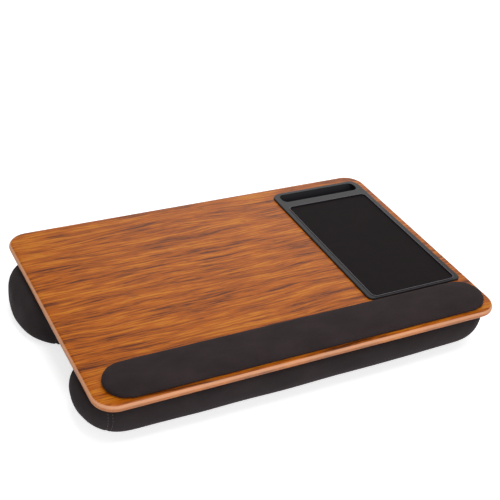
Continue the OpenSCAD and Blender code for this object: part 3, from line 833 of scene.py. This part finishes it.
class LAPDESK_OT_bolsters(bpy.types.Operator):
    """Makes both bolsters as sewn panels of cloth over their filling"""

    bl_idname = "lapdesk.bolsters"
    bl_label = "Make Bolsters"

    def execute(self, context):
        colours = context.scene.lap_desk_colours
        cloth = brushed_microfibre(
            "brushed_microfibre", colours.cloth, nap_size=1.3 * MM, sheen=0.1)
        thread = sewing_thread(colours)
        cushion = context.scene.lap_desk_cushion
        for which, settled in (("front", cushion.front_settle), ("rear", cushion.rear_settle)):
            make_bolster(which, settled, cloth, thread)
        return {"FINISHED"}


class LAPDESK_OT_centre_panel(bpy.types.Operator):
    """Makes the cloth stretched between the bolsters and finishes the backing board above it"""

    bl_idname = "lapdesk.centre_panel"
    bl_label = "Make Centre Panel"

    def execute(self, context):
        colours = context.scene.lap_desk_colours
        cloth = brushed_microfibre(
            "lining_microfibre", colours.cloth, nap_size=1.3 * MM, sheen=0.1)
        low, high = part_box("centre_panel")
        thickness = 1.2 * MM
        sag = 1.0 * MM
        turned_up = high.z - low.z - MM
        size = (high - low) / 2
        middle = (high + low) / 2
        form = bmesh.new()
        bmesh.ops.create_grid(form, x_segments=88, y_segments=12, size=1.0)
        bmesh.ops.scale(form, verts=form.verts, vec=(size.x, size.y, 1.0))
        bmesh.ops.translate(form, verts=form.verts, vec=(middle.x, middle.y, low.z + thickness))
        # It sags between the bolsters, but not at the backing's ends
        for vertex in form.verts:
            across = (vertex.co.y - middle.y) / size.y
            along = (vertex.co.x - middle.x) / size.x
            vertex.co.z -= sag * (1 - across ** 2) * (1 - along ** 8)
        at_end = {v for v in form.verts if abs(abs(v.co.x - middle.x) - size.x) < MERGE}
        ends = [e for e in form.edges if e.is_boundary and at_end.issuperset(e.verts)]
        risen = bmesh.ops.extrude_edge_only(form, edges=ends)["geom"]
        bmesh.ops.translate(form, verts=verts_in(risen), vec=(0.0, 0.0, turned_up))
        bmesh.ops.recalc_face_normals(form, faces=form.faces)
        mesh = bpy.data.meshes.new("centre_panel_cloth")
        form.to_mesh(mesh)
        form.free()
        panel = new_object(mesh.name, mesh, cloth)
        thick = panel.modifiers.new("thickness", "SOLIDIFY")
        thick.thickness = thickness
        thick.offset = 0.0
        bake_modifiers(panel)
        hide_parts("centre_panel")
        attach(panel, BODY)
        finish_node("cushion_backing", raw_fibreboard("tempered_hardboard", "#6d4c2e", "#4b321d"))
        return {"FINISHED"}


class LAPDESK_OT_stage(bpy.types.Operator):
    """Sets the pale floor, the studio lamps and the camera"""

    bl_idname = "lapdesk.stage"
    bl_label = "Set Stage"

    def execute(self, context):
        stage = context.scene.lap_desk_stage
        floor_material, tree, _ = start_material("pale_studio_floor")
        paper = add_node(tree, "ShaderNodeBsdfDiffuse", {"Color": (*linear("#efefef"), 1.0)})
        glow = add_node(
            tree, "ShaderNodeEmission", {"Color": WHITE, "Strength": stage.floor_glow})
        lit = add_node(tree, "ShaderNodeAddShader", {
            0: paper.outputs["BSDF"], 1: glow.outputs["Emission"]})
        seen = add_node(tree, "ShaderNodeMixShader", {
            0: background_rays(tree), 1: paper.outputs["BSDF"], 2: lit.outputs["Shader"]})
        # Seen from below, the floor is clear, so that it doesn't hide the desk's underside
        underside = add_node(tree, "ShaderNodeNewGeometry").outputs["Backfacing"]
        clear = add_node(tree, "ShaderNodeBsdfTransparent")
        one_sided = add_node(tree, "ShaderNodeMixShader", {
            0: underside, 1: seen.outputs["Shader"], 2: clear.outputs["BSDF"]})
        add_node(tree, "ShaderNodeOutputMaterial", {"Surface": one_sided.outputs["Shader"]})
        half_floor = 6.0
        form = bmesh.new()
        bmesh.ops.create_grid(form, x_segments=1, y_segments=1, size=half_floor)
        bmesh.ops.translate(form, verts=form.verts, vec=(0.0, 0.0, CAD_BOX[0].z))
        mesh = bpy.data.meshes.new("studio_floor")
        form.to_mesh(mesh)
        form.free()
        new_object(mesh.name, mesh, floor_material)

        # Each lamp's name, place, size across and power. All of them look at the desk's middle
        lamps = (
            ("overhead_lamp", (0.0, -0.3, 1.6), 1.0, stage.overhead),
            ("back_lamp", (1.1, 1.7, 1.05), 1.4, stage.back),
            ("front_lamp", (-0.3, -1.9, 0.7), 1.4, stage.front),
        )
        for name, place, size, power in lamps:
            data = bpy.data.lights.new(name, "AREA")
            data.size = size
            data.energy = power
            lamp = bpy.data.objects.new(name, data)
            lamp.location = place
            lamp.rotation_mode = "QUATERNION"
            lamp.rotation_quaternion = (-Vector(place)).to_track_quat("-Z", "Y")
            context.scene.collection.objects.link(lamp)

        world = bpy.data.worlds.new("even_studio_light")
        world.use_nodes = True
        tree = world.node_tree
        tree.nodes.clear()
        strength = add_node(tree, "ShaderNodeMapRange", {
            "Value": background_rays(tree), "To Min": stage.ambient, "To Max": 1.0})
        sky = add_node(tree, "ShaderNodeBackground", {
            "Color": WHITE, "Strength": strength.outputs["Result"]})
        add_node(tree, "ShaderNodeOutputWorld", {"Surface": sky.outputs["Background"]})
        context.scene.world = world

        lens = bpy.data.cameras.new("photo_camera")
        lens.sensor_width = SENSOR_WIDTH
        lens.lens = stage.focal
        lens.clip_start = 0.05
        camera = bpy.data.objects.new("photo_camera", lens)
        heading, tilt = stage.heading, stage.tilt
        look = Vector((
            -math.sin(heading) * math.cos(tilt), math.cos(heading) * math.cos(tilt),
            -math.sin(tilt)))
        camera.rotation_mode = "QUATERNION"
        camera.rotation_quaternion = (
            look.to_track_quat("-Z", "Y") @ Quaternion((0.0, 0.0, 1.0), stage.roll))
        camera.location = stage.place
        context.scene.collection.objects.link(camera)
        context.scene.camera = camera
        context.scene.view_settings.view_transform = "Standard"
        return {"FINISHED"}


class LAPDESK_PT_panel(bpy.types.Panel):
    """Lists the desk's settings and the steps that make it"""

    bl_idname = "LAPDESK_PT_panel"
    bl_label = "Lap Desk"
    bl_space_type = "VIEW_3D"
    bl_region_type = "UI"
    bl_category = "Lap Desk"

    def draw(self, context):
        layout = self.layout
        scene = context.scene
        for group in (scene.lap_desk_colours, scene.lap_desk_cushion, scene.lap_desk_stage):
            box = layout.box()
            for name in group.bl_rna.properties.keys():
                if name not in ("rna_type", "name"):
                    box.prop(group, name)
        for step in STEPS:
            layout.operator(step.bl_idname)


STEPS = (
    LAPDESK_OT_stage, LAPDESK_OT_board, LAPDESK_OT_insert, LAPDESK_OT_wrist_rest,
    LAPDESK_OT_bolsters, LAPDESK_OT_centre_panel,
)
CLASSES = (LapDeskColours, LapDeskCushion, LapDeskStage, *STEPS, LAPDESK_PT_panel)


def register():
    for cls in CLASSES:
        bpy.utils.register_class(cls)
    bpy.types.Scene.lap_desk_colours = PointerProperty(type=LapDeskColours)
    bpy.types.Scene.lap_desk_cushion = PointerProperty(type=LapDeskCushion)
    bpy.types.Scene.lap_desk_stage = PointerProperty(type=LapDeskStage)


def unregister():
    del bpy.types.Scene.lap_desk_stage
    del bpy.types.Scene.lap_desk_cushion
    del bpy.types.Scene.lap_desk_colours
    for cls in reversed(CLASSES):
        bpy.utils.unregister_class(cls)


def main():
    register()
    bpy.ops.lapdesk.stage()
    bpy.ops.lapdesk.board()
    bpy.ops.lapdesk.insert()
    bpy.ops.lapdesk.wrist_rest()
    bpy.ops.lapdesk.bolsters()
    bpy.ops.lapdesk.centre_panel()


if __name__ == "__main__":
    main()
